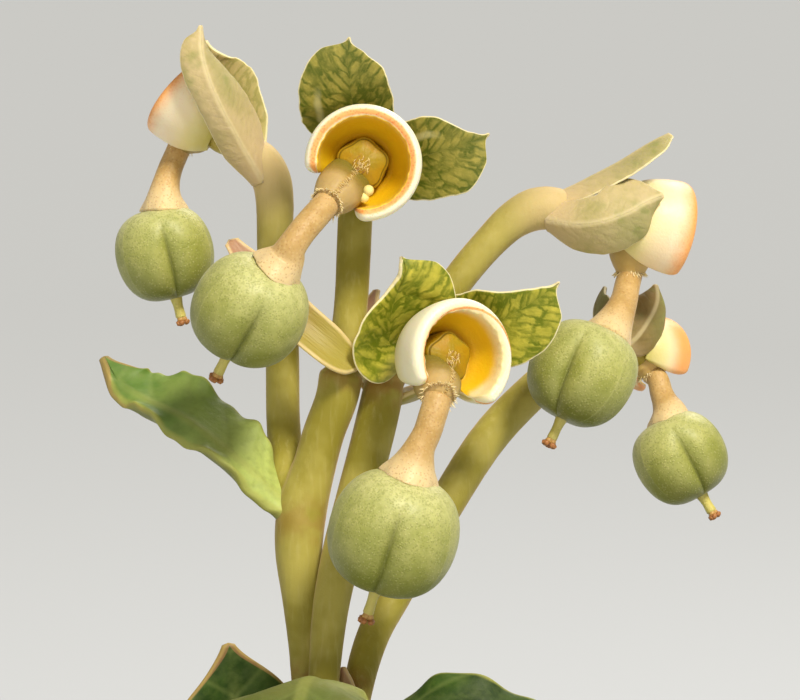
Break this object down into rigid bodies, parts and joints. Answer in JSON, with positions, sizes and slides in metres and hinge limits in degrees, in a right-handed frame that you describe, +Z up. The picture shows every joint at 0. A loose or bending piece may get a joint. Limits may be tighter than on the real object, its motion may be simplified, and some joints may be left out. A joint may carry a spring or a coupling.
{
  "type": "potted euphorbia pseudoracemosa",
  "caption": "Flowering succulent euphorbia in a round clay pot: fleshy stem, wavy-edged leaves, forked flower stalks with horseshoe-shaped cyathia and hanging lobed green capsules.",
  "frame": {"origin": "middle of the pot's base, on the surface that the pot stands on", "axes": "+Z up along the main stem; -Y is the front, the side that the picture was taken from; +X to its right"},
  "size_m": [0.0975, 0.0969, 0.1738],
  "materials": {
    "clay": "fired clay, dry and matt",
    "soil": "loose potting mix",
    "bark": "waxy skin with leaf scars",
    "stalk": "waxy skin",
    "leaf": "fleshy leaf, satin",
    "bract": "veined bract, satin",
    "fork_bract": "pale bract, satin",
    "gland": "waxy, satin",
    "involucre": "waxy, satin",
    "pedicel": "fine brown dots, satin",
    "capsule": "finely speckled, satin"
  },
  "bodies": {
    "root": {"pot": "clay", "soil": "soil", "main_stem": "bark", "stalks_left": "stalk", "stalks_middle": "stalk", "stalk_right": "stalk", "leaf_top_right": "leaf", "leaf_top_left": "leaf", "leaf_top_front": "leaf", "leaf_1": "leaf", "leaf_2": "leaf", "leaf_3": "leaf", "leaf_4": "leaf", "leaf_5": "leaf", "leaf_6": "leaf", "leaf_7": "leaf", "leaf_8": "leaf", "fork_leaf": "leaf", "head_1_involucre": "involucre", "head_1_gland": "gland", "head_1_capsule": "capsule", "head_1_pedicel": "pedicel", "head_1_bract_near": "bract", "head_1_bract_far": "bract", "head_2_involucre": "involucre", "head_2_gland": "gland", "head_2_capsule": "capsule", "head_2_pedicel": "pedicel", "head_2_bract_upper": "bract", "head_2_bract_side": "bract", "head_3_involucre": "involucre", "head_3_gland": "gland", "head_3_capsule": "capsule", "head_3_pedicel": "pedicel", "head_3_bract_left": "bract", "head_3_bract_right": "bract", "head_4_involucre": "involucre", "head_4_gland": "gland", "head_4_capsule": "capsule", "head_4_pedicel": "pedicel", "head_4_bract_upper": "bract", "head_4_bract_near": "bract", "head_5_involucre": "involucre", "head_5_gland": "gland", "head_5_capsule": "capsule", "head_5_pedicel": "pedicel", "head_5_bract_near": "bract", "head_5_bract_far": "bract", "fork_bract_left_a": "fork_bract", "fork_bract_left_b": "fork_bract", "fork_bract_middle_a": "fork_bract", "fork_bract_middle_b": "fork_bract", "crown_scale": "fork_bract"}
  },
  "joints": []
}
